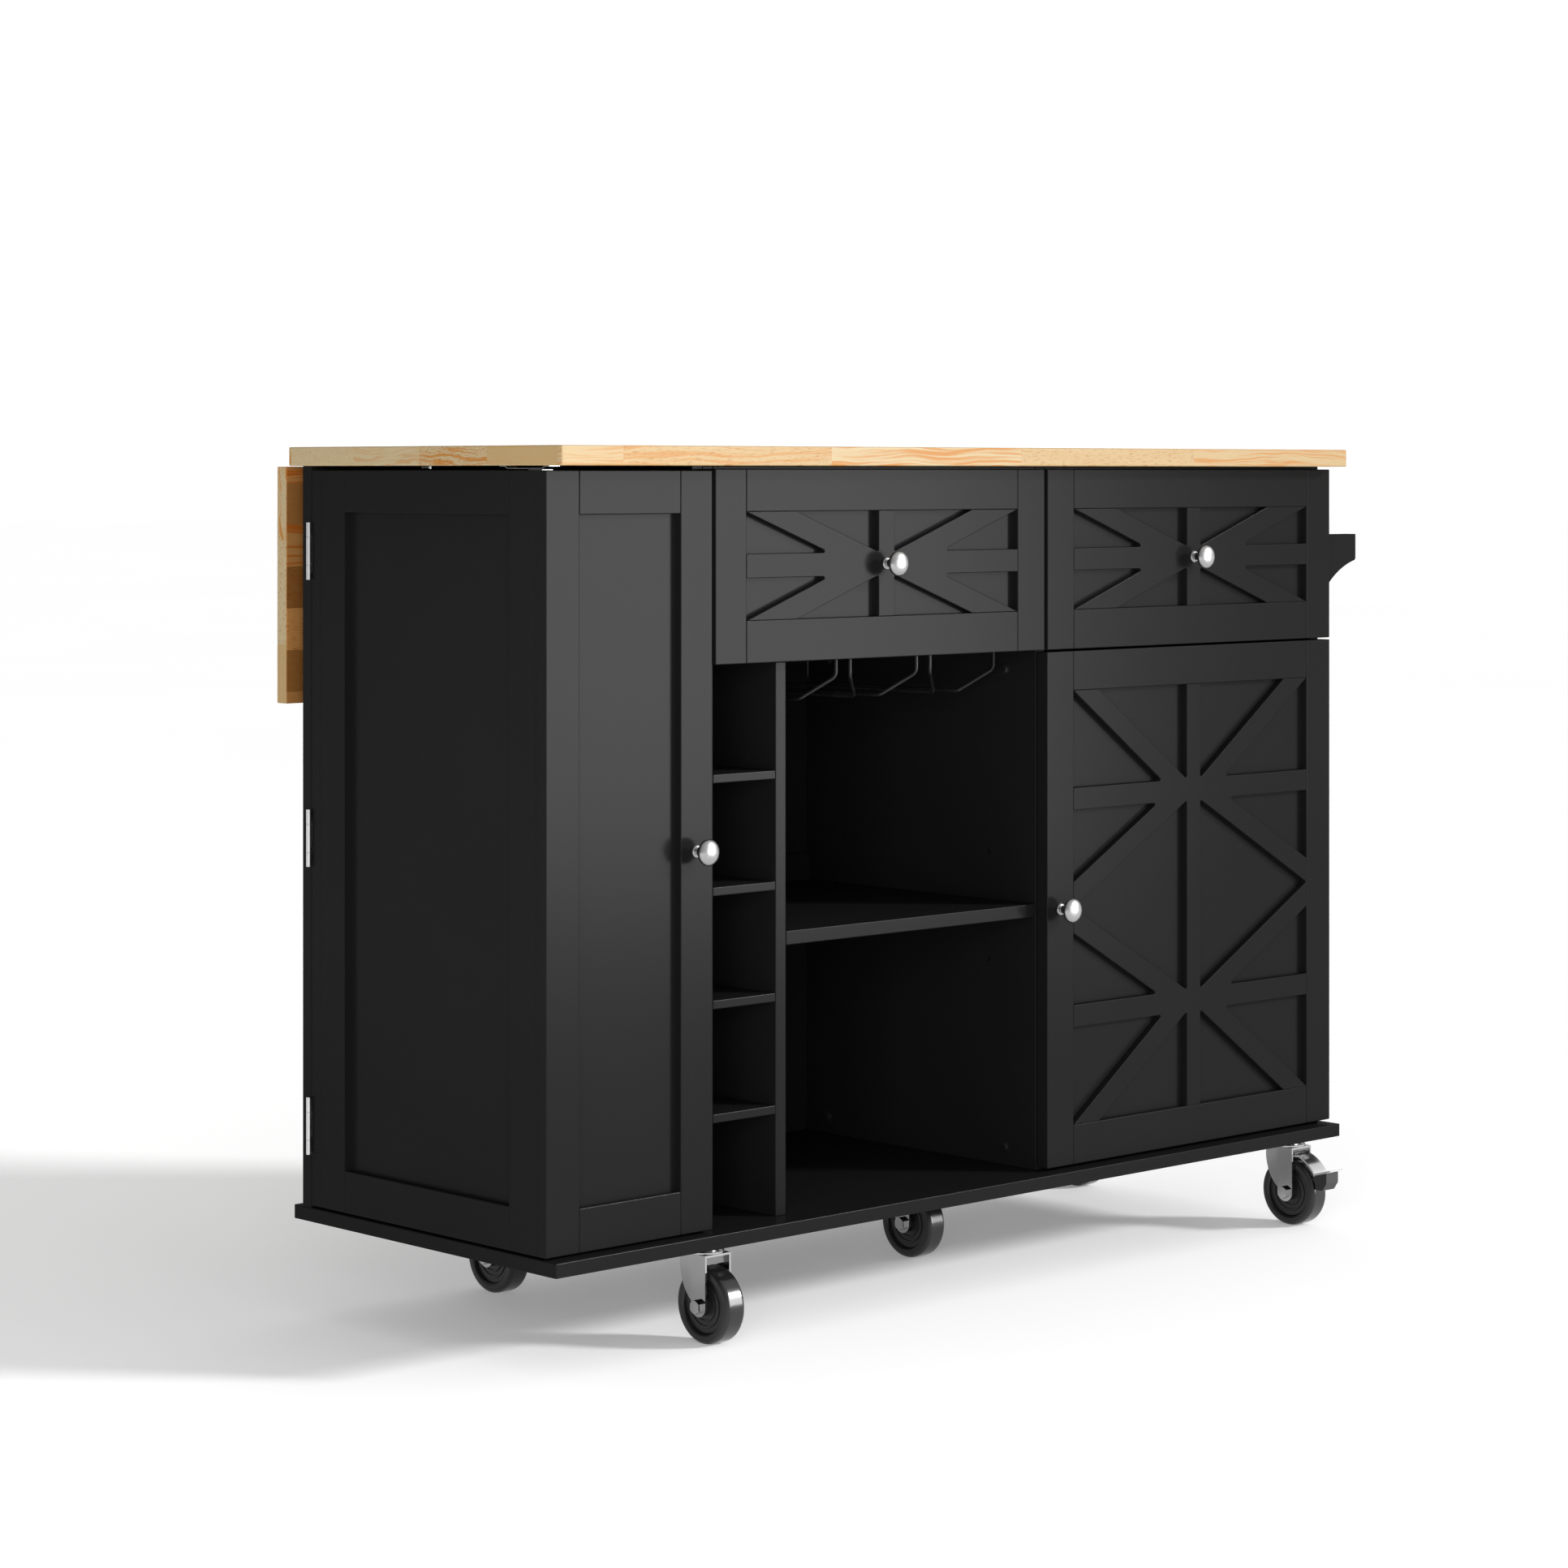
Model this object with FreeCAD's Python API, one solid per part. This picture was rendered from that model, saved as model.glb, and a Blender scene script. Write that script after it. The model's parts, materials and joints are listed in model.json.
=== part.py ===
"""Kitchen island cart with a drop leaf.

A long cupboard on five casters under a solid wood top.  From left to right it has a box that
swings out on three butt hinges, a column of wine cells, an open bay with a stemware rack under a
drawer, and a second drawer over a cupboard door.  A leaf hangs behind the top on hinges and two
folding supports, and a towel rail stands on the right side.

Millimetres.  X runs to the right along the front, Y from the front to the back, Z up.  The model
is drawn from the left end and the front edge of the worktop, with the floor at Z = 0, and moved
on export so that the origin is under the middle of the whole cart.
"""
import FreeCAD
import Part
import math
import os

Vector = FreeCAD.Vector
AXIS_X = Vector(1, 0, 0)
AXIS_Y = Vector(0, 1, 0)
AXIS_Z = Vector(0, 0, 1)

# ---- Driving dimensions -------------------------------------------------------------------

TOP_LENGTH = 1230.0
TOP_DEPTH = 457.0
TOP_THICK = 20.4
TOP_UNDERSIDE = 911.6

BOARD = 15.0            # thickness of the carcass boards
EDGE = 1.0              # rounding of a painted board's edges
TOP_EDGE = 1.6          # rounding of the wooden boards' edges

END_INSET = 1.0         # cupboard ends inside the worktop's ends
BASE_BOTTOM = 104.6
BASE_TOP = BASE_BOTTOM + BOARD
BASE_FRONT = 10.0
BASE_BACK = 448.0

FACE_Y = 25.5           # front faces of door, drawers and box
FACE_THICK = 16.0
RECESS = 8.5            # depth of the panels behind the frames' faces
CARCASS_FRONT = 43.5
CARCASS_BACK = 433.0
BACK_FACE = CARCASS_BACK - BOARD

RIGHT_END = TOP_LENGTH - END_INSET
BOX_RIGHT = 224.0
LEFT_PARTITION_X = 226.0
WINE_PARTITION_X = 330.0
MIDDLE_PARTITION_X = 730.0
RIGHT_PANEL_X = RIGHT_END - BOARD
DIVIDER_Z = 704.6       # underside of the boards under the drawers

STILE = 43.6
RAIL = 44.6
CROSS_BAR = 25.0        # width of the lattice's level and slanting bars
UPRIGHT_BAR = 23.6
CORNER_ROUND = 1.8      # rounding of the lattice's inner corners
LATTICE_EDGE = 0.7

BOX_BOTTOM = 122.3
BOX_TOP = 907.0
BOX_BACK = 416.8
SIDE_STILE = 42.7
DOOR_LEFT = 730.0
DOOR_RIGHT = 1229.0
DOOR_BOTTOM = 123.3
DOOR_TOP = 703.1
DRAWER_BOTTOM = 705.5
DRAWER_TOP = 908.4
LEFT_FRONT_X = (228.4, 725.7)
RIGHT_FRONT_X = (730.7, 1228.9)

WINE_SHELF_THICK = 9.3
WINE_SHELF_TOPS = (237.0, 355.5, 473.2, 590.5)
SHELF_TOP = 419.6       # top of the centre and the cupboard shelf
SHELF_PITCH = 61.4      # step between the heights at which a shelf can be pinned
SHELF_PIN_Y = (117.0, 357.0)
PIN_RADIUS = 2.5
PIN_DEPTH = 7.0
FIT = 0.05              # radial clearance of a pin in its hole

RUNNER_LENGTH = 350.0
RUNNER_HEIGHT = 35.0
RUNNER_Z = 790.0        # middle height of the drawer runners
DRAWER_BOARD = 12.0
DRAWER_BOX_Z = (735.0, 860.0)
DRAWER_BOX_DEPTH = 352.0
RUNNER_SPACE = 13.0

LEAF_THICK = 17.4
LEAF_INNER_Y = 460.8
LEAF_TOP = 911.0
LEAF_BOTTOM = 656.0
LEAF_AXIS_Y = 457.7
LEAF_AXIS_Z = 911.7
LEAF_HINGE_X = (200.0, 615.0, 1030.0)
HINGE_LENGTH = 61.0
HINGE_GAP = 0.4
LEAF_KNUCKLE = 2.5      # outer radius of the leaf hinges' knuckles
KNUCKLE_ROOM = 0.5      # space left round a knuckle
BOX_PIN_X = -2.2
BOX_PIN_Y = 417.4
BOX_KNUCKLE = 2.8
BOX_HINGE_Z = (207.7, 514.7, 820.8)
HINGE_PIN = 1.0

SUPPORT_X = (330.0, 900.0)
WALL_PIVOT = (441.5, 761.7)
LEAF_PIVOT = (452.5, 761.7)
LINK_WIDTH = 12.0
LINK_THICK = 2.0
LINK_GAP = 0.6
LINK_SLACK = 0.3        # each link is this much over half the raised distance
RIVET = 2.5

TOWEL_OUT = 1303.0
TOWEL_FRONT = 45.0
TOWEL_BACK = 390.0
TOWEL_ROD = 10.0

RACK_WIRE = 2.0
RACK_FRONT = 91.0
RACK_BACK = 363.0
RACK_CHANNEL = 102.4
RACK_PITCH = 123.7
RACK_FIRST = 361.5
RACK_SLOPE = Vector(32.0, 26.0, -25.0)
RACK_BEND_Z = 683.0
RACK_STRIP = 12.0       # width of the flat strips that carry the wires

WHEEL_RADIUS = 40.0
WHEEL_HALF = 12.8
TRAIL = 9.0             # distance of the axle ahead of the swivel axis
FORK_HALF = 18.0
SHEET = 2.2             # thickness of the fork's pressed steel
FORK_TOP = 93.6
STRIP_HALF = 11.0
AXLE = 4.0
KINGPIN = 5.0
CASTERS = {
    "front_left": (239.5, 54.0),
    "back_left": (239.5, 404.0),
    "centre": (712.0, 229.0),
    "front_right": (1186.0, 54.0),
    "back_right": (1186.0, 404.0),
}
BRAKED = ("front_right", "back_right")
BRAKE_PIVOT = (-17.0, 84.0)     # pedal's pin from the swivel axis, and above the floor
BRAKE_INNER = 46.0
BRAKE_HALF = 12.0
BRAKE_TOE = 73.6        # the foot tab's end, ahead of the swivel axis

# The whole cart's middle, from the outermost knuckle to the towel rail, and from the front brake's
# foot tab to the outer face of the hanging leaf.
MIDDLE_X = (BOX_PIN_X - BOX_KNUCKLE + TOWEL_OUT) / 2
MIDDLE_Y = (CASTERS["front_right"][1] - BRAKE_TOE + LEAF_INNER_Y + LEAF_THICK) / 2

# ---- Shapes used many times ---------------------------------------------------------------


def block(x0, x1, y0, y1, z0, z1):
    """A box between two corners."""
    return Part.makeBox(x1 - x0, y1 - y0, z1 - z0, Vector(x0, y0, z0))


def board(x0, x1, y0, y1, z0, z1, rounding=EDGE):
    """A board between two corners, with its edges slightly rounded."""
    solid = block(x0, x1, y0, y1, z0, z1)
    return solid.makeFillet(rounding, solid.Edges)


def cylinder(start, axis, radius, length):
    """A round bar from a point along an axis."""
    return Part.makeCylinder(radius, length, Vector(*start), axis)


def prism(points, y0, y1):
    """A flat outline of (x, z) points, extruded from y0 to y1."""
    corners = [Vector(x, y0, z) for x, z in points]
    outline = Part.makePolygon(corners + corners[:1])
    return Part.Face(outline).extrude(Vector(0, y1 - y0, 0))


def side_prism(points, x0, x1):
    """A flat outline of (y, z) points, extruded from x0 to x1."""
    corners = [Vector(x0, y, z) for y, z in points]
    outline = Part.makePolygon(corners + corners[:1])
    return Part.Face(outline).extrude(Vector(x1 - x0, 0, 0))


def turned(profile, centre, axis):
    """A solid turned from (radius, height) points about an axis through a point."""
    corners = [Vector(radius, 0, height) for radius, height in profile]
    face = Part.Face(Part.makePolygon(corners + corners[:1]))
    solid = face.revolve(Vector(0, 0, 0), AXIS_Z, 360)
    turn = FreeCAD.Rotation(AXIS_Z, axis)
    solid.Placement = FreeCAD.Placement(Vector(*centre), turn)
    return solid


def rounded_path(points, radius):
    """Straight runs through the points, joined by tangent arcs of one radius."""
    edges = []
    start = points[0]
    for before, corner, after in zip(points, points[1:], points[2:]):
        back = (before - corner).normalize()
        onward = (after - corner).normalize()
        half = back.getAngle(onward) / 2
        reach = radius / math.tan(half)
        bisector = (back + onward).normalize()
        middle = corner + bisector * (radius / math.sin(half) - radius)
        arc_start = corner + back * reach
        arc_end = corner + onward * reach
        edges.append(Part.LineSegment(start, arc_start).toShape())
        edges.append(Part.Arc(arc_start, middle, arc_end).toShape())
        start = arc_end
    edges.append(Part.LineSegment(start, points[-1]).toShape())
    return Part.Wire(edges)


def bent_wire(points, wire_radius, bend):
    """A round wire bent along the points."""
    path = rounded_path(points, bend)
    direction = points[1] - points[0]
    section = Part.Wire(Part.makeCircle(wire_radius, points[0], direction))
    return path.makePipeShell([section], True, True)


def saved(name, solids):
    """Write one node, moved so that the origin is under the cart's middle."""
    shape = Part.makeCompound([solid.copy() for solid in solids])
    shape.translate(Vector(-MIDDLE_X, -MIDDLE_Y, 0))
    if len(solids) == 1:
        shape = shape.Solids[0]
    shape.exportStep("parts/" + name + ".step")


# ---- Carcass ------------------------------------------------------------------------------


def pin_holes(solid, face_x, into, heights):
    """Bore the shelf-pin holes in a board's face; into is +1 or -1 along X."""
    for y in SHELF_PIN_Y:
        for z in heights:
            hole = cylinder((face_x, y, z), AXIS_X * into, PIN_RADIUS + FIT, PIN_DEPTH)
            solid = solid.cut(hole)
    return solid


PIN_HEIGHTS = [SHELF_TOP - BOARD / 2 + step * SHELF_PITCH for step in (-1, 0, 1)]
SCREW_POINTS = [(y, z) for y in (91.5, 381.5) for z in (139.6, 682.0)]
SCREW_RADIUS = 1.8
CLEAT = 40.0


def make_carcass():
    """The fixed boards of the cart, from the base to the worktop."""
    front, back = CARCASS_FRONT, BACK_FACE
    floor, top = BASE_TOP, TOP_UNDERSIDE
    worktop = board(0, TOP_LENGTH, 0, TOP_DEPTH, top, top + TOP_THICK, TOP_EDGE)
    for x in LEAF_HINGE_X:
        worktop = worktop.cut(knuckle_notch(x))
    saved("worktop", [worktop])

    base = board(END_INSET, RIGHT_END, BASE_FRONT, BASE_BACK, BASE_BOTTOM, BASE_TOP)
    for x, y in CASTERS.values():
        for hole_x, hole_y in plate_screw_points(x, y):
            base = base.cut(cylinder((hole_x, hole_y, BASE_BOTTOM), AXIS_Z, PLATE_SCREW, 11))
    saved("base_board", [base])

    panel = board(END_INSET, RIGHT_END, back, CARCASS_BACK, floor, top)
    for z in BOX_HINGE_Z:
        panel = panel.cut(box_hinge_plate(z, back, back + PLATE))
    saved("back_panel", [panel])

    left = board(LEFT_PARTITION_X, LEFT_PARTITION_X + BOARD, front, back, floor, top)
    saved("left_partition", [left])

    wine_right = WINE_PARTITION_X + BOARD
    wine = board(WINE_PARTITION_X, wine_right, front, back, floor, DIVIDER_Z)
    saved("wine_partition", [pin_holes(wine, wine_right, -1, PIN_HEIGHTS)])

    middle_right = MIDDLE_PARTITION_X + BOARD
    middle = board(MIDDLE_PARTITION_X, middle_right, front, back, floor, top)
    middle = pin_holes(middle, MIDDLE_PARTITION_X, 1, PIN_HEIGHTS)
    middle = pin_holes(middle, middle_right, -1, PIN_HEIGHTS)
    for y, z in SCREW_POINTS:
        middle = middle.cut(cylinder((MIDDLE_PARTITION_X, y, z), AXIS_X, SCREW_RADIUS, BOARD))
    saved("middle_partition", [middle])

    right = board(RIGHT_PANEL_X, RIGHT_END, front, back, floor, top)
    saved("right_side_panel", [pin_holes(right, RIGHT_PANEL_X, 1, PIN_HEIGHTS)])

    left_bay = (LEFT_PARTITION_X + BOARD, MIDDLE_PARTITION_X)
    right_bay = (middle_right, RIGHT_PANEL_X)
    dividers = [board(x0, x1, front, back, DIVIDER_Z, DIVIDER_Z + BOARD)
                for x0, x1 in (left_bay, right_bay)]
    saved("divider_boards", dividers)

    rails = [board(x0, x1, y0, y0 + 60, top - BOARD, top)
             for x0, x1 in (left_bay, right_bay) for y0 in (front, back - 60)]
    saved("top_rails", rails)

    shelves = [board(left_bay[0], WINE_PARTITION_X, front, back, z - WINE_SHELF_THICK, z)
               for z in WINE_SHELF_TOPS]
    saved("wine_shelves", shelves)

    make_shelves(wine_right, middle_right)
    make_fixings(wine_right, middle_right)


def make_shelves(bay_left, cupboard_left):
    """The pinned shelves of the open bay and the cupboard, the strips behind, the box's stop."""
    spans = ((bay_left, MIDDLE_PARTITION_X, CARCASS_FRONT), (cupboard_left, RIGHT_PANEL_X, 60))
    slack = 0.4
    shelves = []
    for x0, x1, y0 in spans:
        shelf = board(x0 + slack, x1 - slack, y0, BACK_FACE - 7, SHELF_TOP - BOARD, SHELF_TOP)
        for y in SHELF_PIN_Y:
            for face_x, into in ((x0, 1), (x1, -1)):
                start = (face_x, y, PIN_HEIGHTS[1])
                shelf = shelf.cut(cylinder(start, AXIS_X * into, PIN_RADIUS + FIT, 14))
        shelves.append(shelf)
    saved("fixed_shelves", shelves)

    batten = board(bay_left, MIDDLE_PARTITION_X, BACK_FACE - 6, BACK_FACE, 417.5, 451.4)
    cleats = [batten]
    for z in (BASE_TOP, DIVIDER_Z - CLEAT):
        cleat = board(cupboard_left, cupboard_left + BOARD, 62, 412, z, z + CLEAT)
        for y, screw_z in SCREW_POINTS:
            start = (cupboard_left, y, screw_z)
            cleat = cleat.cut(cylinder(start, AXIS_X, SCREW_RADIUS, 11))
        cleats.append(cleat)
    cleats.append(block(212.5, LEFT_PARTITION_X, 44, 60, TOP_UNDERSIDE - 3.6, TOP_UNDERSIDE))
    saved("battens_and_cleats", cleats)


def make_fixings(bay_left, cupboard_left):
    """Shelf pins in their holes, and the cross-head screws of the middle partition."""
    pins = []
    spans = ((bay_left, MIDDLE_PARTITION_X), (cupboard_left, RIGHT_PANEL_X))
    for x0, x1 in spans:
        for y in SHELF_PIN_Y:
            for start in (x0 - PIN_DEPTH, x1 - 13):
                place = (start, y, PIN_HEIGHTS[1])
                pins.append(cylinder(place, AXIS_X, PIN_RADIUS, PIN_DEPTH + 13))
    screws = [cross_head_screw(y, z) for y, z in SCREW_POINTS]
    saved("shelf_pins_and_screws", pins + screws)


def cross_head_screw(y, z):
    """A pan-head screw driven along +X into the middle partition and its cleat."""
    profile = [(0, 0), (7.4, 0), (7.2, 0.7), (5.7, 0.9), (5.6, 1.4), (4.6, 2.3), (2.6, 2.9),
               (0, 3.0)]
    head = turned(profile, (MIDDLE_PARTITION_X, y, z), -AXIS_X)
    for half_y, half_z in ((2.6, 0.5), (0.5, 2.6)):
        slot = block(MIDDLE_PARTITION_X - 3, MIDDLE_PARTITION_X - 1.4,
                     y - half_y, y + half_y, z - half_z, z + half_z)
        head = head.cut(slot)
    shank = cylinder((MIDDLE_PARTITION_X, y, z), AXIS_X, SCREW_RADIUS, BOARD + 10)
    return head.fuse(shank)


# ---- Frames and lattices ------------------------------------------------------------------


def frame_and_panel(width, height, thick, stile, top_rail, bottom_rail):
    """Stiles, rails and the recessed panel, front face at y = 0, lower left corner at 0, 0."""
    right = width - stile
    boards = [
        board(0, stile, 0, thick, 0, height),
        board(right, width, 0, thick, 0, height),
        board(stile, right, 0, thick, 0, bottom_rail),
        board(stile, right, 0, thick, height - top_rail, height),
    ]
    panel = block(stile, right, RECESS, thick, bottom_rail, height - top_rail)
    return boards + [panel]


def pocket(points, corners, y0, y1):
    """A triangular recess, rounded at the named corners."""
    solid = prism(points, y0, y1)
    edges = []
    for edge in solid.Edges:
        ends = [(vertex.Point.x, vertex.Point.z) for vertex in edge.Vertexes]
        along_y = math.dist(ends[0], ends[1]) < 1e-6
        if along_y and any(math.dist(ends[0], corner) < 1e-3 for corner in corners):
            edges.append(edge)
    return solid.makeFillet(CORNER_ROUND, edges)


def corner_pockets(corner, bar_corner, sign_x, sign_z):
    """The two recesses beside a slanting bar that runs to a corner of the opening.

    The bar's outer edge meets the opening's corner, and its inner edge meets the corner where
    the upright and the level bar cross.
    """
    over = 4.0
    run = abs(bar_corner[0] - corner[0])
    rise = abs(bar_corner[1] - corner[1])
    angle = math.atan2(rise, run) + math.asin(CROSS_BAR / math.hypot(run, rise))
    slope = math.tan(angle)
    tip = (corner[0] + sign_x * rise / slope, bar_corner[1])
    outer = [(corner[0] - sign_x * over, corner[1] + sign_z * over * slope),
             (corner[0] - sign_x * over, bar_corner[1]), tip]
    inner_run = (rise + over) / slope
    inner = [(bar_corner[0] - sign_x * inner_run, corner[1] + sign_z * over),
             (bar_corner[0], corner[1] + sign_z * over), bar_corner]
    return [(outer, [tip]), (inner, [bar_corner])]


def side_pocket(side_x, middle_z, bar_corner, sign_x, sign_z):
    """The recess between a level bar and a slanting bar that runs to the side's middle."""
    over = 4.0
    run = abs(bar_corner[0] - side_x)
    rise = abs(bar_corner[1] - middle_z)
    slope = rise / run
    height = CROSS_BAR / math.cos(math.atan(slope))
    edge_z = middle_z + sign_z * height
    tip = (side_x + sign_x * (rise - height) / slope, bar_corner[1])
    points = [(side_x - sign_x * over, edge_z - sign_z * over * slope),
              (side_x - sign_x * over, bar_corner[1]), tip]
    return (points, [tip])


def lattice(x0, x1, z0, z1, crossings):
    """The bars laid over a panel: an upright bar and a crossing star at each height."""
    centre = (x0 + x1) / 2
    upright = UPRIGHT_BAR / 2
    level = CROSS_BAR / 2
    recesses = []
    for sign_x, side_x in ((1, x0), (-1, x1)):
        bar_x = centre - sign_x * upright
        upper = (bar_x, crossings[-1] + level)
        lower = (bar_x, crossings[0] - level)
        recesses += corner_pockets((side_x, z1), upper, sign_x, 1)
        recesses += corner_pockets((side_x, z0), lower, sign_x, -1)
        if len(crossings) == 2:
            middle = (z0 + z1) / 2
            top_bar = (bar_x, crossings[1] - level)
            low_bar = (bar_x, crossings[0] + level)
            recesses.append(side_pocket(side_x, middle, top_bar, sign_x, 1))
            recesses.append(side_pocket(side_x, middle, low_bar, sign_x, -1))
            apex = (side_x, middle)
            recesses.append(([apex, top_bar, low_bar], [apex, top_bar, low_bar]))
    solid = block(x0, x1, 0, RECESS, z0, z1)
    for points, corners in recesses:
        solid = solid.cut(pocket(points, corners, -1, RECESS + 1))
    front_edges = [edge for edge in solid.Edges
                   if all(abs(vertex.Point.y) < 1e-6 for vertex in edge.Vertexes)]
    return solid.makeFillet(LATTICE_EDGE, front_edges)


def knob(x, z):
    """A turned mushroom knob standing out from a front face."""
    arc_points = [(13.8 * math.cos(angle), 18.2 + 6.8 * math.sin(angle))
                  for angle in [math.radians(step * 10) for step in range(9)]]
    profile = [(0, 0), (7.0, 0), (7.0, 1.4), (5.9, 2.6), (4.2, 3.4), (3.8, 6.0), (3.9, 9.0),
               (5.0, 11.6), (8.0, 13.6), (11.6, 15.0), (13.4, 16.6)]
    return turned(profile + arc_points + [(0, 25.0)], (x, FACE_Y, z), -AXIS_Y)


# ---- Swing box ----------------------------------------------------------------------------

PLATE = 0.9
BOX_SHELF_TOPS = (330.0, 525.0, 720.0)


def box_hinge_plate(z, y0, y1):
    """The flat of one butt-hinge leaf, let into a board's face."""
    return block(END_INSET, 26, y0, y1, z - HINGE_LENGTH / 2, z + HINGE_LENGTH / 2)


def knuckle(z0, z1):
    """One knuckle of a box hinge."""
    return cylinder((BOX_PIN_X, BOX_PIN_Y, z0), AXIS_Z, BOX_KNUCKLE, z1 - z0)


def box_hinge(z):
    """One butt hinge: the fixed leaf, the moving leaf and the pin."""
    low, high = z - HINGE_LENGTH / 2, z + HINGE_LENGTH / 2
    quarter = HINGE_LENGTH / 4
    start = (BOX_PIN_X, BOX_PIN_Y, low)
    bore = cylinder(start, AXIS_Z, HINGE_PIN + FIT, HINGE_LENGTH)
    pin = cylinder(start, AXIS_Z, HINGE_PIN, HINGE_LENGTH)
    fixed = box_hinge_plate(z, BACK_FACE, BACK_FACE + PLATE)
    for z0, z1 in ((low, low + quarter), (high - quarter, high)):
        neck = block(BOX_PIN_X, END_INSET, BACK_FACE, BACK_FACE + PLATE, z0, z1)
        fixed = fixed.fuse([neck, knuckle(z0, z1)])
    moving = box_hinge_plate(z, BOX_BACK - PLATE, BOX_BACK)
    z0, z1 = low + quarter + HINGE_GAP, high - quarter - HINGE_GAP
    neck = block(BOX_PIN_X, END_INSET, BOX_BACK - PLATE, BOX_BACK, z0, z1)
    moving = moving.fuse([neck, knuckle(z0, z1)])
    return fixed.cut(pin), moving.cut(bore), pin


def make_swing_box():
    """The box at the left end, which turns on the hinges at its back corner."""
    height = BOX_TOP - BOX_BOTTOM
    front = frame_and_panel(BOX_RIGHT - END_INSET, height, FACE_THICK, STILE, RAIL, RAIL)
    for piece in front:
        piece.translate(Vector(END_INSET, FACE_Y, BOX_BOTTOM))
    saved("box_front_frame", front)

    inner_front = FACE_Y + FACE_THICK
    inner_back = BOX_BACK - BOARD
    depth = inner_back - inner_front
    side = frame_and_panel(depth, height, FACE_THICK, SIDE_STILE, RAIL, RAIL)
    turn = FreeCAD.Rotation(AXIS_Z, -90)
    for piece in side:
        piece.Placement = FreeCAD.Placement(Vector(END_INSET, inner_back, BOX_BOTTOM), turn)
    saved("box_side_frame", side)

    inner_left = END_INSET + FACE_THICK
    top = board(inner_left, BOX_RIGHT, inner_front, inner_back, BOX_TOP - BOARD, BOX_TOP)
    floor = board(inner_left, BOX_RIGHT, inner_front, inner_back, BOX_BOTTOM, BOX_BOTTOM + BOARD)
    back = board(END_INSET, BOX_RIGHT, inner_back, BOX_BACK, BOX_BOTTOM, BOX_TOP)
    for z in BOX_HINGE_Z:
        back = back.cut(box_hinge_plate(z, BOX_BACK - PLATE, BOX_BACK))
    saved("box_boards", [top, floor, back])
    saved("catch_strike", [block(33, 47, 70, 92, BOX_TOP, BOX_TOP + 0.8)])

    shelves = []
    for z in BOX_SHELF_TOPS:
        shelves.append(board(inner_left, BOX_RIGHT, inner_front, inner_back, z - 12, z))
    for z in (BOX_BOTTOM + BOARD,) + BOX_SHELF_TOPS:
        fence = board(BOX_RIGHT - 8, BOX_RIGHT, inner_front, inner_back, z + 25, z + 60)
        shelves.append(fence)
    saved("box_shelves", shelves)

    saved("box_knob", [knob(BOX_RIGHT - STILE / 2, (BOX_BOTTOM + BOX_TOP) / 2)])
    hinges = [box_hinge(z) for z in BOX_HINGE_Z]
    saved("box_hinge_plates", [part for fixed, moving, pin in hinges for part in (fixed, pin)])
    saved("box_hinge_leaves", [moving for fixed, moving, pin in hinges])


def make_catches():
    """Spring catch and peg under the worktop over the box, and the buffer in the top cell."""
    top = TOP_UNDERSIDE
    strip = [(59, top), (59, top - 0.8), (66, top - 0.8), (70, top - 3.2), (126, top - 3.2),
             (130, top - 0.8), (138, top - 0.8), (138, top), (129.4, top), (125.4, top - 2.4),
             (70.6, top - 2.4), (66.6, top)]
    catch = side_prism(strip, 33, 47)
    peg = cylinder((30, 249, top - 1.8), AXIS_Y, 1.8, 12)
    face = LEFT_PARTITION_X + BOARD
    dome = [(0, 0), (5.2, 0), (5.1, 1.0), (4.4, 2.6), (3.0, 3.6), (1.2, 4.1), (0, 4.2)]
    buffer = turned(dome, (face, 52.0, 663.0), AXIS_X)
    saved("box_catch", [catch, peg])
    saved("cell_buffer", [buffer])


# ---- Door and drawers ---------------------------------------------------------------------

CUP_RADIUS = 17.5
CUP_DEPTH = 11.0
CUP_INSET = 21.8
CUP_Z = (213.0, 613.0)


def make_door():
    """The cupboard door with its star lattice, knob and hinge cups."""
    height = DOOR_TOP - DOOR_BOTTOM
    frame = frame_and_panel(DOOR_RIGHT - DOOR_LEFT, height, FACE_THICK, STILE, RAIL, RAIL)
    for piece in frame:
        piece.translate(Vector(DOOR_LEFT, FACE_Y, DOOR_BOTTOM))
    cup_x = DOOR_RIGHT - CUP_INSET
    back_y = FACE_Y + FACE_THICK
    for z in CUP_Z:
        seat = cylinder((cup_x, back_y - CUP_DEPTH, z), AXIS_Y, CUP_RADIUS, CUP_DEPTH)
        frame[1] = frame[1].cut(seat)
    saved("door_frame", frame)

    low, high = DOOR_BOTTOM + RAIL, DOOR_TOP - RAIL
    quarter = (high - low) / 4
    star = lattice(DOOR_LEFT + STILE, DOOR_RIGHT - STILE, low, high,
                   (low + quarter, high - quarter))
    star.translate(Vector(0, FACE_Y, 0))
    saved("door_lattice", [star])
    saved("door_knob", [knob(DOOR_LEFT + STILE / 2, (DOOR_BOTTOM + DOOR_TOP) / 2)])

    cups, arms = [], []
    for z in CUP_Z:
        cup = cylinder((cup_x, back_y - CUP_DEPTH, z), AXIS_Y, CUP_RADIUS, CUP_DEPTH)
        hollow = cylinder((cup_x, back_y - CUP_DEPTH + 1, z), AXIS_Y, CUP_RADIUS - 1.2, CUP_DEPTH)
        flange = board(cup_x - 11, cup_x + 11, back_y, back_y + 1, z - 26, z + 26, 0.3)
        opening = cylinder((cup_x, back_y - 2, z), AXIS_Y, CUP_RADIUS - 1.2, 4)
        cups.append(cup.cut(hollow).fuse(flange).cut(opening))
        base = board(RIGHT_PANEL_X - 2, RIGHT_PANEL_X, 60, 105, z - 24, z + 24, 0.4)
        arm = board(RIGHT_PANEL_X - 13, RIGHT_PANEL_X - 2, 45, 110, z - 8, z + 8, 1.5)
        arms += [base, arm]
    saved("door_hinge_cups", cups)
    saved("door_hinge_arms", arms)


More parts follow.
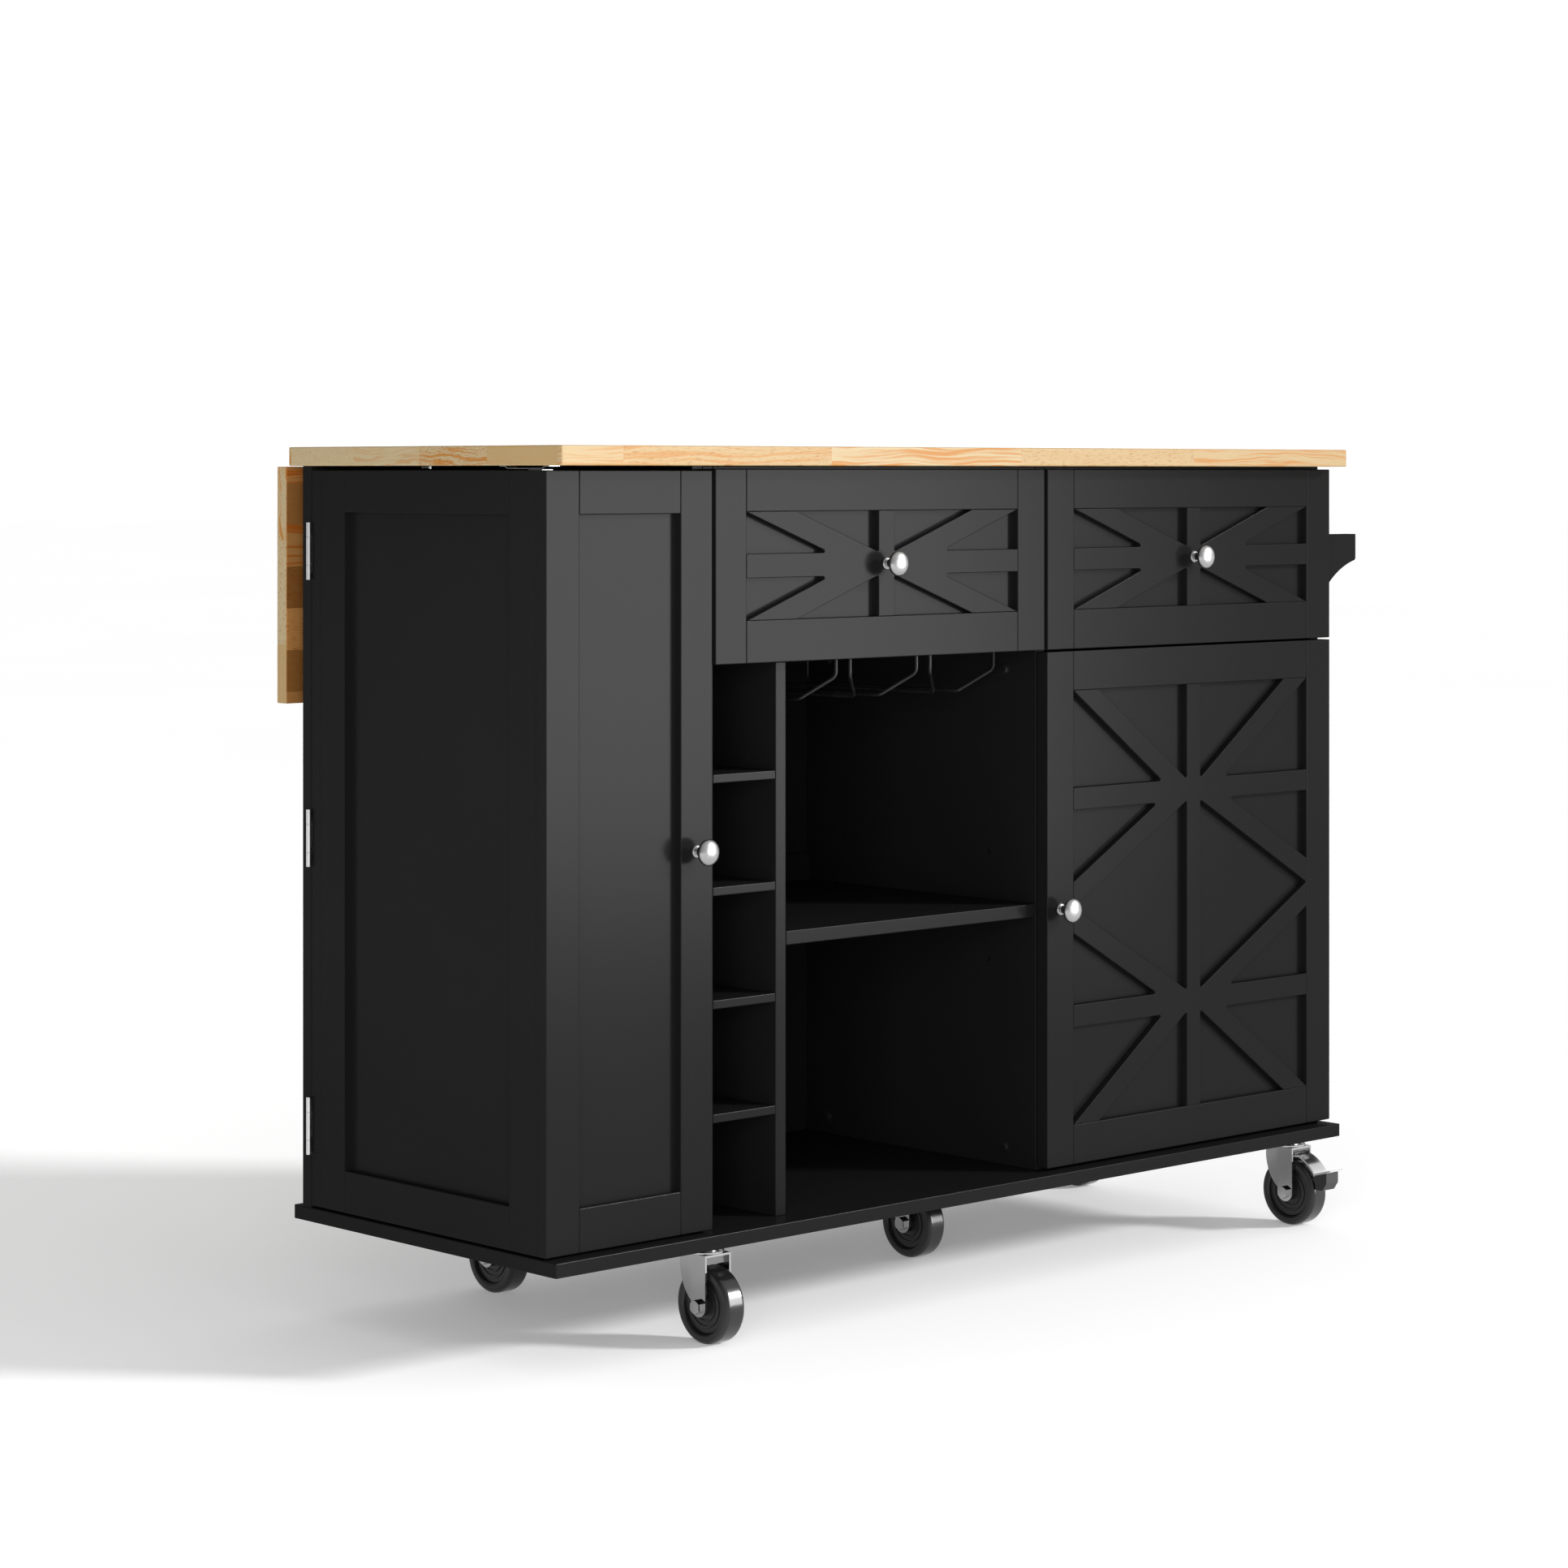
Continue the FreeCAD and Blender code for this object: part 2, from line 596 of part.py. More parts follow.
def make_drawer(name, front_x, bay):
    """A drawer: its framed front, box, knob and the runners on its sides."""
    x0, x1 = front_x
    height = DRAWER_TOP - DRAWER_BOTTOM
    front = frame_and_panel(x1 - x0, height, FACE_THICK, STILE, RAIL, RAIL)
    for piece in front:
        piece.translate(Vector(x0, FACE_Y, DRAWER_BOTTOM))
    middle_z = (DRAWER_BOTTOM + DRAWER_TOP) / 2
    low, high = DRAWER_BOTTOM + RAIL, DRAWER_TOP - RAIL
    star = lattice(x0 + STILE, x1 - STILE, low, high, (middle_z,))
    star.translate(Vector(0, FACE_Y, 0))
    saved(name + "_front", front + [star])
    saved(name + "_knob", [knob((x0 + x1) / 2, middle_z)])

    left, right = bay[0] + RUNNER_SPACE, bay[1] - RUNNER_SPACE
    y0 = FACE_Y + FACE_THICK
    y1 = y0 + DRAWER_BOX_DEPTH
    z0, z1 = DRAWER_BOX_Z
    inner_left, inner_right = left + DRAWER_BOARD, right - DRAWER_BOARD
    boards = [
        board(left, inner_left, y0, y1, z0, z1),
        board(inner_right, right, y0, y1, z0, z1),
        board(inner_left, inner_right, y0, y0 + DRAWER_BOARD, z0, z1),
        board(inner_left, inner_right, y1 - DRAWER_BOARD, y1, z0, z1),
        block(inner_left, inner_right, y0 + DRAWER_BOARD, y1 - DRAWER_BOARD, z0 + 4, z0 + 9),
    ]
    saved(name + "_box", boards)

    half = RUNNER_HEIGHT / 2
    slides = []
    for x, out in ((left, -1), (right, 1)):
        ends = sorted((x, x + out * 9.5))
        slides.append(board(ends[0], ends[1], 46, 46 + RUNNER_LENGTH - 5,
                            RUNNER_Z - half + 4, RUNNER_Z + half - 4, 0.8))
    saved(name + "_runners", slides)


def runner_rail(face_x, out):
    """The fixed channel of one drawer runner, on a partition's face; out is +1 or -1."""
    half = RUNNER_HEIGHT / 2
    y0, y1 = 45.0, 45.0 + RUNNER_LENGTH
    web_ends = sorted((face_x, face_x + out * 1.2))
    lip_ends = sorted((face_x, face_x + out * 11.0))
    web = block(web_ends[0], web_ends[1], y0, y1, RUNNER_Z - half, RUNNER_Z + half)
    lower = block(lip_ends[0], lip_ends[1], y0, y1, RUNNER_Z - half, RUNNER_Z - half + 1.2)
    upper = block(lip_ends[0], lip_ends[1], y0, y1, RUNNER_Z + half - 1.2, RUNNER_Z + half)
    return web.fuse([lower, upper]).removeSplitter()


def make_drawers():
    """Both drawers and their fixed rails."""
    left_bay = (LEFT_PARTITION_X + BOARD, MIDDLE_PARTITION_X)
    right_bay = (MIDDLE_PARTITION_X + BOARD, RIGHT_PANEL_X)
    make_drawer("left_drawer", LEFT_FRONT_X, left_bay)
    make_drawer("right_drawer", RIGHT_FRONT_X, right_bay)
    rails = [runner_rail(face, out) for bay in (left_bay, right_bay)
             for face, out in ((bay[0], 1), (bay[1], -1))]
    saved("drawer_runner_rails", rails)


# ---- Drop leaf ----------------------------------------------------------------------------


def leaf_barrel(x0, x1, radius):
    """A bar on the leaf's hinge axis."""
    return cylinder((x0, LEAF_AXIS_Y, LEAF_AXIS_Z), AXIS_X, radius, x1 - x0)


def knuckle_notch(x):
    """The room cut in the worktop's lower back edge for one hinge's knuckles."""
    half = HINGE_LENGTH / 2 + KNUCKLE_ROOM
    reach = LEAF_KNUCKLE + KNUCKLE_ROOM
    return block(x - half, x + half, LEAF_AXIS_Y - reach, TOP_DEPTH + 1,
                 TOP_UNDERSIDE - 1, LEAF_AXIS_Z + reach)


def leaf_hinge(x):
    """One leaf hinge: the plate under the worktop, the plate on the leaf and the pin."""
    x0, x1 = x - HINGE_LENGTH / 2, x + HINGE_LENGTH / 2
    quarter = HINGE_LENGTH / 4
    under = TOP_UNDERSIDE
    room = LEAF_KNUCKLE + KNUCKLE_ROOM
    pin = leaf_barrel(x0, x1, HINGE_PIN)
    bore = leaf_barrel(x0, x1, HINGE_PIN + FIT)
    fixed = block(x0, x1, CARCASS_BACK + 0.5, LEAF_AXIS_Y - room, under - 1, under)
    for k0, k1 in ((x0, x0 + quarter), (x1 - quarter, x1)):
        neck = block(k0, k1, LEAF_AXIS_Y - room, LEAF_AXIS_Y, under - 1, under)
        fixed = fixed.fuse([neck, leaf_barrel(k0, k1, LEAF_KNUCKLE)])
    moving = block(x0, x1, LEAF_INNER_Y - 1, LEAF_INNER_Y, LEAF_AXIS_Z - 26, LEAF_AXIS_Z - room)
    k0, k1 = x0 + quarter + HINGE_GAP, x1 - quarter - HINGE_GAP
    neck = block(k0, k1, LEAF_INNER_Y - 1, LEAF_INNER_Y, LEAF_AXIS_Z - room, LEAF_AXIS_Z - 0.7)
    moving = moving.fuse([neck, leaf_barrel(k0, k1, LEAF_KNUCKLE)])
    return fixed.cut(pin), moving.cut(bore), pin


def link_length():
    """Length of each link, so that the pair is all but straight when the leaf is up."""
    dy, dz = LEAF_PIVOT[0] - LEAF_AXIS_Y, LEAF_PIVOT[1] - LEAF_AXIS_Z
    raised = (LEAF_AXIS_Y - dz, LEAF_AXIS_Z + dy)
    return math.dist(raised, WALL_PIVOT) / 2 + LINK_SLACK


def knee_point():
    """Where the links meet when the leaf hangs and they are folded."""
    half = (LEAF_PIVOT[0] - WALL_PIVOT[0]) / 2
    length = link_length()
    return (WALL_PIVOT[0] + half, WALL_PIVOT[1] + math.sqrt(length ** 2 - half ** 2))


def link(start, end, x0, eye_radius):
    """A flat link with round ends between two pivots, bored at its first one."""
    half = LINK_WIDTH / 2
    ends = [cylinder((x0, y, z), AXIS_X, half, LINK_THICK) for y, z in (start, end)]
    length = math.dist(start, end)
    across_y = (end[1] - start[1]) / length * half
    across_z = (end[0] - start[0]) / length * half
    corners = [(start[0] + across_y, start[1] - across_z), (end[0] + across_y, end[1] - across_z),
               (end[0] - across_y, end[1] + across_z), (start[0] - across_y, start[1] + across_z)]
    bar = side_prism(corners, x0, x0 + LINK_THICK)
    body = bar.fuse(ends).removeSplitter()
    return body.cut(cylinder((x0, start[0], start[1]), AXIS_X, eye_radius, LINK_THICK))


def ear(pivot, wall_y, x0):
    """A plate standing out from a wall, round about the pivot it carries."""
    half = LINK_WIDTH / 2
    y, z = pivot
    y0, y1 = sorted((wall_y, y))
    arm = block(x0, x0 + LINK_THICK, y0, y1, z - half, z + half)
    return arm.fuse(cylinder((x0, y, z), AXIS_X, half, LINK_THICK)).removeSplitter()


def make_leaf_support(x):
    """One folding support: wall plate, lower link, upper link and leaf plate."""
    knee = knee_point()
    low_x = x
    high_x = x + LINK_THICK + LINK_GAP
    wall_ear_x = low_x - LINK_THICK - LINK_GAP
    leaf_ear_x = high_x + LINK_THICK + LINK_GAP
    y, z = WALL_PIVOT
    wall_plate = board(x - 14, x + 14, CARCASS_BACK, CARCASS_BACK + 2, z - 40, z + 40, 0.4)
    wall_pin = cylinder((wall_ear_x - 1.5, y, z), AXIS_X, RIVET, LINK_THICK * 2 + LINK_GAP + 1.8)
    wall = ear(WALL_PIVOT, CARCASS_BACK + 1.5, wall_ear_x).fuse([wall_plate, wall_pin])
    lower = link(WALL_PIVOT, knee, low_x, RIVET + FIT)
    lower_rivet = cylinder((low_x - 1.5, knee[0], knee[1]), AXIS_X, 4.0, 1.5)
    y, z = LEAF_PIVOT
    leaf_plate = board(x - 12, x + 18, LEAF_INNER_Y - 2, LEAF_INNER_Y, z - 40, z + 40, 0.4)
    pin_start = high_x - 0.3
    pin_length = LINK_THICK * 2 + LINK_GAP + 1.8
    leaf_pin = cylinder((pin_start, y, z), AXIS_X, RIVET, pin_length)
    leaf = ear(LEAF_PIVOT, LEAF_INNER_Y - 1.5, leaf_ear_x).fuse([leaf_plate, leaf_pin])
    upper = link(LEAF_PIVOT, knee, high_x, RIVET + FIT)
    upper_rivet = cylinder((high_x + LINK_THICK, knee[0], knee[1]), AXIS_X, 4.0, 1.5)
    return wall, (lower, lower_rivet), (upper, upper_rivet), leaf


def make_leaf():
    """The drop leaf, its hinges and its folding supports."""
    leaf = board(0, TOP_LENGTH, LEAF_INNER_Y, LEAF_INNER_Y + LEAF_THICK,
                 LEAF_BOTTOM, LEAF_TOP, TOP_EDGE - 0.4)
    saved("drop_leaf", [leaf])
    hinges = [leaf_hinge(x) for x in LEAF_HINGE_X]
    saved("leaf_hinge_plates", [part for fixed, moving, pin in hinges for part in (fixed, pin)])
    saved("leaf_hinge_leaves", [moving for fixed, moving, pin in hinges])
    walls, lowers, uppers, leaves = zip(*[make_leaf_support(x) for x in SUPPORT_X])
    saved("support_wall_plates", walls)
    saved("support_lower_links", [piece for pair in lowers for piece in pair])
    saved("support_upper_links", [piece for pair in uppers for piece in pair])
    saved("support_leaf_plates", leaves)


# ---- Stemware rack and towel rail ---------------------------------------------------------


def make_glass_rack():
    """Bent wires under the left divider board, a pair to each channel, on two flat strips."""
    strip_low = DIVIDER_Z - 2
    pieces = [block(RACK_FIRST - 7, 718, y - RACK_STRIP / 2, y + RACK_STRIP / 2,
                    strip_low, DIVIDER_Z) for y in (RACK_FRONT, RACK_BACK)]
    for channel in range(3):
        left = RACK_FIRST + channel * RACK_PITCH
        for up_x, side in ((left, 1), (left + RACK_CHANNEL, -1)):
            slope = Vector(RACK_SLOPE.x * side, RACK_SLOPE.y, RACK_SLOPE.z)
            front_bend = Vector(up_x, RACK_FRONT, RACK_BEND_Z)
            rail = front_bend + slope
            points = [Vector(up_x, RACK_FRONT, strip_low), front_bend, rail,
                      Vector(rail.x, RACK_BACK, rail.z), Vector(rail.x, RACK_BACK, strip_low)]
            pieces.append(bent_wire(points, RACK_WIRE, 9.0))
    saved("glass_rack", pieces)


def towel_bracket(y0):
    """A shaped bracket board standing out from the right side."""
    side, out = RIGHT_END, TOWEL_OUT
    corner = 4.0
    top_left, top_right = Vector(side, y0, 829.5), Vector(out, y0, 829.5)
    nose = Vector(out, y0, 801.0)
    nose_middle = Vector(out - corner * (1 - math.sqrt(0.5)), y0, 801 - corner * math.sqrt(0.5))
    nose_end = Vector(out - corner, y0, 797.0)
    foot = Vector(side, y0, 741.0)
    edges = [
        Part.LineSegment(top_left, top_right).toShape(),
        Part.LineSegment(top_right, nose).toShape(),
        Part.Arc(nose, nose_middle, nose_end).toShape(),
        Part.Arc(nose_end, Vector(1254.5, y0, 773.0), foot).toShape(),
        Part.LineSegment(foot, top_left).toShape(),
    ]
    return Part.Face(Part.Wire(edges)).extrude(Vector(0, BOARD, 0))


def make_towel_rail():
    """Two brackets and the rod held in their blind holes."""
    rod_x, rod_z = TOWEL_OUT - 17, 813.0
    start_y = TOWEL_FRONT + BOARD - 6
    length = TOWEL_BACK - TOWEL_FRONT - BOARD + 12
    hole = cylinder((rod_x, start_y, rod_z), AXIS_Y, TOWEL_ROD, length)
    brackets = [towel_bracket(y).cut(hole) for y in (TOWEL_FRONT, TOWEL_BACK)]
    saved("towel_brackets", brackets)
    saved("towel_rod", [hole])


# ---- Casters ------------------------------------------------------------------------------

PLATE_HALF_X, PLATE_HALF_Y = 24.0, 28.0
PLATE_SCREW = 2.0
PLATE_THICK = 2.5


def plate_screw_points(x, y):
    """The four screws of a caster's top plate."""
    return [(x + dx, y + dy) for dx in (-18.5, 18.5) for dy in (-22.0, 22.0)]


def caster_plate(x, y):
    """Top plate, upper race and kingpin, and the plate's screws."""
    low = BASE_BOTTOM - PLATE_THICK
    plate = board(x - PLATE_HALF_X, x + PLATE_HALF_X, y - PLATE_HALF_Y, y + PLATE_HALF_Y,
                  low, BASE_BOTTOM, 0.6)
    race = [(0, 0), (20.5, 0), (20.5, 1.6), (17.5, 4.0), (15.0, low - FORK_TOP - 0.4),
            (0, low - FORK_TOP - 0.4)]
    cone = turned(race, (x, y, FORK_TOP + 0.4), AXIS_Z)
    under = FORK_TOP - SHEET
    pin = cylinder((x, y, under - 3.4), AXIS_Z, KINGPIN, 8)
    head = turned([(0, 0), (6.5, 0), (9, 1.2), (9, 3.0), (0, 3.0)], (x, y, under - 3.4), AXIS_Z)
    body = plate.fuse([cone, pin, head])
    screws = []
    for screw_x, screw_y in plate_screw_points(x, y):
        body = body.cut(cylinder((screw_x, screw_y, low - 1), AXIS_Z, PLATE_SCREW, 5))
        shank = cylinder((screw_x, screw_y, low), AXIS_Z, PLATE_SCREW, 12)
        profile = [(0, 0), (3.9, 0), (3.9, 0.8), (2.6, 1.8), (0, 2.1)]
        screws.append(turned(profile, (screw_x, screw_y, low), -AXIS_Z).fuse(shank))
    return [body] + screws


def fork_cheek(side):
    """One cheek of a fork: a flat strip with a bowed wing behind it, about the origin."""
    front, crease, tail = -TRAIL - STRIP_HALF, -TRAIL + STRIP_HALF, -TRAIL + STRIP_HALF + 20
    outer, middle, end = FORK_HALF, FORK_HALF - 0.9, FORK_HALF - 2.4
    bottom = WHEEL_RADIUS - STRIP_HALF

    def place(x, y):
        return Vector(side * x, y, bottom)

    edges = [
        Part.LineSegment(place(outer, front), place(outer, crease)).toShape(),
        Part.Arc(place(outer, crease), place(middle, crease + 10), place(end, tail)).toShape(),
        Part.LineSegment(place(end, tail), place(end - SHEET, tail)).toShape(),
        Part.Arc(place(end - SHEET, tail), place(middle - SHEET, crease + 10),
                 place(outer - SHEET, crease)).toShape(),
        Part.LineSegment(place(outer - SHEET, crease), place(outer - SHEET, front)).toShape(),
        Part.LineSegment(place(outer - SHEET, front), place(outer, front)).toShape(),
    ]
    sheet = Part.Face(Part.Wire(edges)).extrude(Vector(0, 0, FORK_TOP - bottom))
    return sheet.common(cheek_outline())


def cheek_outline():
    """The side view of a cheek, as a wide prism to trim the sheet with."""
    x0, x1 = -FORK_HALF - 5, FORK_HALF + 5
    front, crease, tail = -TRAIL - STRIP_HALF, -TRAIL + STRIP_HALF, -TRAIL + STRIP_HALF + 20
    axle_z = WHEEL_RADIUS
    corners = [
        Vector(x0, front, FORK_TOP), Vector(x0, front, axle_z),
        Vector(x0, -TRAIL, axle_z - STRIP_HALF), Vector(x0, crease, axle_z),
        Vector(x0, crease, axle_z + 5), Vector(x0, crease + 15, axle_z + 23),
        Vector(x0, tail, FORK_TOP - 6), Vector(x0, tail, FORK_TOP),
    ]
    edges = [
        Part.LineSegment(corners[0], corners[1]).toShape(),
        Part.Arc(corners[1], corners[2], corners[3]).toShape(),
        Part.LineSegment(corners[3], corners[4]).toShape(),
        Part.Arc(corners[4], corners[5], corners[6]).toShape(),
        Part.LineSegment(corners[6], corners[7]).toShape(),
        Part.LineSegment(corners[7], corners[0]).toShape(),
    ]
    return Part.Face(Part.Wire(edges)).extrude(Vector(x1 - x0, 0, 0))


def hexagon(x, radius, length):
    """A hexagonal bolt head or nut on the axle."""
    points = [(-TRAIL + radius * math.sin(math.radians(60 * step)),
               WHEEL_RADIUS + radius * math.cos(math.radians(60 * step))) for step in range(6)]
    solid = side_prism(points, x, x + length)
    rim = [(0, 0), (radius - 0.7, 0), (radius + 0.4, 0.8), (radius + 0.4, length - 0.8),
           (radius - 0.7, length), (0, length)]
    return solid.common(turned(rim, (x, -TRAIL, WHEEL_RADIUS), AXIS_X))


def caster_fork(x, y, braked):
    """The swivelling fork, its axle bolt and nut, and the pin of a brake pedal."""
    top_low = FORK_TOP - SHEET
    front, tail = -TRAIL - STRIP_HALF, -TRAIL + STRIP_HALF + 20
    crown = block(-FORK_HALF, FORK_HALF, front, tail - 2, top_low, FORK_TOP)
    rounded = cylinder((0, 2, top_low), AXIS_Z, 21.5, SHEET)
    crown = crown.common(rounded.fuse(block(-FORK_HALF, FORK_HALF, front, 2, top_low, FORK_TOP)))
    body = crown.fuse([fork_cheek(1), fork_cheek(-1)])
    body = body.cut(cylinder((0, 0, top_low - 1), AXIS_Z, KINGPIN + FIT, SHEET + 2))
    axle_start = (-FORK_HALF - 1, -TRAIL, WHEEL_RADIUS)
    body = body.cut(cylinder(axle_start, AXIS_X, AXLE, 2 * FORK_HALF + 2))
    bolt = cylinder((-FORK_HALF, -TRAIL, WHEEL_RADIUS), AXIS_X, AXLE, 2 * FORK_HALF + 8)
    bolt = bolt.fuse(hexagon(-FORK_HALF - 5.4, 7.6, 5.4))
    nut = hexagon(FORK_HALF, 7.6, 6.0)
    nut = nut.cut(cylinder((FORK_HALF, -TRAIL, WHEEL_RADIUS), AXIS_X, AXLE, 6.0))
    pieces = [body, bolt, nut]
    if braked:
        pivot_y, pivot_z = BRAKE_PIVOT
        start = (-FORK_HALF, pivot_y, pivot_z)
        pin = cylinder(start, AXIS_X, 2.0, 2 * FORK_HALF)
        pieces[0] = body.cut(pin)
        pieces.append(pin)
    for piece in pieces:
        piece.translate(Vector(x, y, 0))
    return pieces


def caster_wheel(x, y):
    """A solid wheel with ringed faces, bored for the axle."""
    half = WHEEL_HALF
    radius = WHEEL_RADIUS
    shoulder = 4.6
    face = [(AXLE + FIT, FORK_HALF - SHEET - 0.6), (9.0, FORK_HALF - SHEET - 0.6), (9.6, 12.4),
            (10.6, 9.4), (14.6, 9.4), (15.2, 10.4), (17.0, 10.4), (17.6, 9.0), (20.4, 9.0),
            (21.0, 10.0), (23.0, 10.0), (23.6, 8.8), (28.4, 8.8), (29.6, 11.6), (30.6, half - 0.4),
            (32.0, half)]
    rim = [(radius - shoulder * (1 - math.sin(angle)), half - shoulder * (1 - math.cos(angle)))
           for angle in [math.radians(step * 15) for step in range(7)]]
    near = face + rim
    far = [(r, -h) for r, h in reversed(near)]
    solid = turned(near + far, (x, y - TRAIL, radius), AXIS_X)
    return solid


def brake_pedal(x, y):
    """The brake: an eye on its pin, a band round the wheel's front, a foot tab and a pad."""
    pivot_y, pivot_z = BRAKE_PIVOT
    inner, outer = BRAKE_INNER, BRAKE_INNER + 2.0
    half = BRAKE_HALF

    def arc_point(radius, degrees):
        angle = math.radians(degrees)
        return Vector(-half, -TRAIL + radius * math.cos(angle),
                      WHEEL_RADIUS + radius * math.sin(angle))

    edges = [
        Part.Arc(arc_point(inner, 100), arc_point(inner, 125), arc_point(inner, 150)).toShape(),
        Part.LineSegment(arc_point(inner, 150), arc_point(outer, 150)).toShape(),
        Part.Arc(arc_point(outer, 150), arc_point(outer, 125), arc_point(outer, 100)).toShape(),
        Part.LineSegment(arc_point(outer, 100), arc_point(inner, 100)).toShape(),
    ]
    band = Part.Face(Part.Wire(edges)).extrude(Vector(2 * half, 0, 0))
    eye = cylinder((-half, pivot_y, pivot_z), AXIS_X, 4.0, 2 * half)
    end = arc_point(outer, 150)
    slope = math.tan(math.radians(15.4))
    near, far = end.y + 1.4, -BRAKE_TOE
    low = end.z + 0.4
    rise = (near - far) * slope
    tab = side_prism([(near, low), (near, low + 2), (far, low + 2 + rise), (far, low + rise)],
                     -half, half)
    lever = band.fuse([eye, tab])
    lever = lever.cut(cylinder((-half, pivot_y, pivot_z), AXIS_X, 2.0 + FIT, 2 * half))
    pad_back, pad_front = near - 1.4, near - 18.0
    pad = side_prism([(pad_back, low - 17), (pad_back, low + 1.4 * slope),
                      (pad_front, low + 18 * slope), (pad_front, low - 8), (near - 12, low - 17)],
                     1 - half, half - 1)
    lever.translate(Vector(x, y, 0))
    pad.translate(Vector(x, y, 0))
    return [lever, pad]


def make_casters():
    """Five casters; two of them carry a brake."""
    plates = []
    for name, (x, y) in CASTERS.items():
        plates += caster_plate(x, y)
        braked = name in BRAKED
        saved("fork_" + name, caster_fork(x, y, braked))
        saved("wheel_" + name, [caster_wheel(x, y)])
        if braked:
            saved("brake_" + name, brake_pedal(x, y))
    saved("caster_plates", plates)


os.makedirs("parts", exist_ok=True)
make_carcass()
make_swing_box()
make_catches()
make_door()
make_drawers()
make_leaf()
make_glass_rack()
make_towel_rail()
make_casters()
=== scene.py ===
"""Looks of the kitchen island cart: paint, wood, metal, light and camera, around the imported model."""
import json
import math

import bpy
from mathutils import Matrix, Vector


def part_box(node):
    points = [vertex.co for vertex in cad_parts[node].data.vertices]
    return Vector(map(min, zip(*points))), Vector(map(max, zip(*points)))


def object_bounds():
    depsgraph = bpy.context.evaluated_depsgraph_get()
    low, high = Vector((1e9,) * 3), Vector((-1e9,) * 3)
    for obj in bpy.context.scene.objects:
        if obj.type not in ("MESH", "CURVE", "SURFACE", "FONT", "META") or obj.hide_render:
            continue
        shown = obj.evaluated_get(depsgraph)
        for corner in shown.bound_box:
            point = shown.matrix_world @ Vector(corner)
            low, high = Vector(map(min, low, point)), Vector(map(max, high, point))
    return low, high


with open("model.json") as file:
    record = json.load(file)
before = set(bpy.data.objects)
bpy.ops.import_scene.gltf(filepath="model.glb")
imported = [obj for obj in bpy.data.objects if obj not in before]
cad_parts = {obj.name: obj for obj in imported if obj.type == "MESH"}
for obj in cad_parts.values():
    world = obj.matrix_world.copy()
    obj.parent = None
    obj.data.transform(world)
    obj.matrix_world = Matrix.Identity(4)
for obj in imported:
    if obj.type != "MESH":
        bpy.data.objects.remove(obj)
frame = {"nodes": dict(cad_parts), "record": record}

CAD_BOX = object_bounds()
NODES = frame["nodes"]
SLOT_OF = {part["node"]: part["material_slot"] for part in frame["record"]["subparts"]}
JOINTS = {joint["name"]: joint for joint in frame["record"]["behaviour"]["joints"]}

# ---- Node helpers -------------------------------------------------------------------------


class Graph:
    """A material's node tree, with short calls for the nodes used here."""

    def __init__(self, name):
        self.material = bpy.data.materials.new(name)
        self.material.use_nodes = True
        self.tree = self.material.node_tree
        self.shader = self.tree.nodes["Principled BSDF"]

    def new(self, kind, inputs=None, **settings):
        """Add a node, with its settings and the values or links of its inputs."""
        node = self.tree.nodes.new(kind)
        for key, value in settings.items():
            setattr(node, key, value)
        for key, value in (inputs or {}).items():
            self.feed(node.inputs[key], value)
        return node

    def feed(self, socket, value):
        """Link a socket to another node's output, or set its constant."""
        if isinstance(value, bpy.types.NodeSocket):
            self.tree.links.new(value, socket)
        else:
            socket.default_value = value

    def set(self, **values):
        """Set sockets of the shader by name, with spaces written as underscores."""
        for key, value in values.items():
            self.feed(self.shader.inputs[key.replace("_", " ")], value)

    def place(self):
        """Where the point lies, in the object's own metres."""
        return self.new("ShaderNodeTexCoord").outputs["Object"]

    def math(self, operation, a, b=0.0):
        """One sum; b is unused by operations that take one number."""
        node = self.new("ShaderNodeMath", {0: a, 1: b}, operation=operation)
        return node.outputs[0]

    def scaled(self, vector, scale):
        """A place stretched by a different amount along each axis."""
        node = self.new("ShaderNodeVectorMath", {0: vector, 1: scale}, operation="MULTIPLY")
        return node.outputs[0]

    def noise(self, vector, scale, detail=4.0, roughness=0.5):
        """Cloudy noise from 0 to 1."""
        values = {"Vector": vector, "Scale": scale, "Detail": detail, "Roughness": roughness}
        return self.new("ShaderNodeTexNoise", values).outputs["Fac"]

    def between(self, value, low, high, to_low, to_high):
        """Carry a value from one range to another, held at its ends."""
        values = {"Value": value, "From Min": low, "From Max": high,
                  "To Min": to_low, "To Max": to_high}
        return self.new("ShaderNodeMapRange", values).outputs["Result"]

    def ramp(self, value, stops):
        """A colour ramp; stops are (position, linear colour)."""
        node = self.new("ShaderNodeValToRGB", {"Fac": value})
        elements = node.color_ramp.elements
        while len(elements) < len(stops):
            elements.new(0.5)
        for element, (position, colour) in zip(elements, stops):
            element.position = position
            element.color = (*colour, 1)
        return node.outputs["Color"]

    def choose(self, factor, a, b):
        """Number a where the factor is 0, b where it is 1."""
        return self.new("ShaderNodeMix", {"Factor": factor, "A": a, "B": b}).outputs["Result"]

    def mix(self, factor, a, b, blend="MIX"):
        """Colour a where the factor is 0, blended with b where it is 1."""
        node = self.new("ShaderNodeMix", data_type="RGBA", blend_type=blend)
        self.feed(node.inputs["Factor"], factor)
        colours = [socket for socket in node.inputs if socket.type == "RGBA"]
        for socket, value in zip(colours, (a, b)):
            self.feed(socket, value if isinstance(value, bpy.types.NodeSocket) else (*value, 1))
        return next(socket for socket in node.outputs if socket.type == "RGBA")

    def bump(self, height, distance, soften=0.0):
        """Fine relief, over edges that are softened by the given radius."""
        node = self.new("ShaderNodeBump", {"Height": height, "Distance": distance})
        if soften:
            edge = self.new("ShaderNodeBevel", {"Radius": soften}, samples=6)
            self.feed(node.inputs["Normal"], edge.outputs["Normal"])
        self.feed(self.shader.inputs["Normal"], node.outputs["Normal"])


